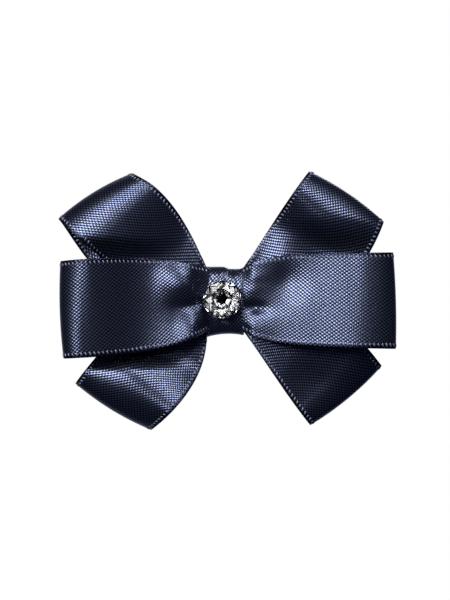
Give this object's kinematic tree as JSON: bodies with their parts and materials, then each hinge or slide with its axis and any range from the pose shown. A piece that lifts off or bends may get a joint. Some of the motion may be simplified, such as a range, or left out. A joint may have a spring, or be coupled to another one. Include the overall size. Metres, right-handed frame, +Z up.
{
  "type": "hair bow",
  "caption": "Layered satin ribbon bow with a gathered, wrapped knot, a round faceted stone in front and a sprung clip behind.",
  "frame": {"origin": "where the clip grips the hair, between its jaws behind the middle of the knot", "axes": "+X along the bow from its left loop to its right loop as seen from the front, +Y out of the back, towards the head, +Z up"},
  "size_m": [0.0776, 0.0224, 0.0595],
  "materials": {
    "satin_ribbon": "navy satin, fine diagonal weave, soft sheen",
    "satin_wrap": "navy satin, narrower ribbon, soft sheen",
    "thread": "twisted polyester thread",
    "glue": "set hot-melt glue, slightly cloudy",
    "foil": "bright reflecting foil",
    "crystal": "clear cut glass, polished facets",
    "clip_steel": "nickel-plated pressed sheet steel",
    "rivet_steel": "plated rivet",
    "spring_wire": "drawn spring wire"
  },
  "bodies": {
    "bow": {"front_ribbon": "satin_ribbon", "falling_ribbon": "satin_ribbon", "rising_ribbon": "satin_ribbon", "gathering_thread": "thread", "centre_wrap": "satin_wrap", "wrap_glue": "glue", "seat_glue": "glue", "stone_glue": "glue", "stone_foil": "foil", "stone": "crystal", "clip_arm": "clip_steel", "clip_pin": "rivet_steel", "clip_spring": "spring_wire"},
    "jaw": {"clip_jaw": "clip_steel"}
  },
  "joints": [
    {"name": "jaw_hinge", "type": "hinge", "parent": "bow", "child": "jaw", "pos_m": [-0.01, 0.0027, 0], "axis": [0, 0, 1], "range_deg": [0, 26], "stiffness_Nm_per_rad": 0.15, "springref_deg": -30.37, "deforming": ["clip_spring"]}
  ]
}
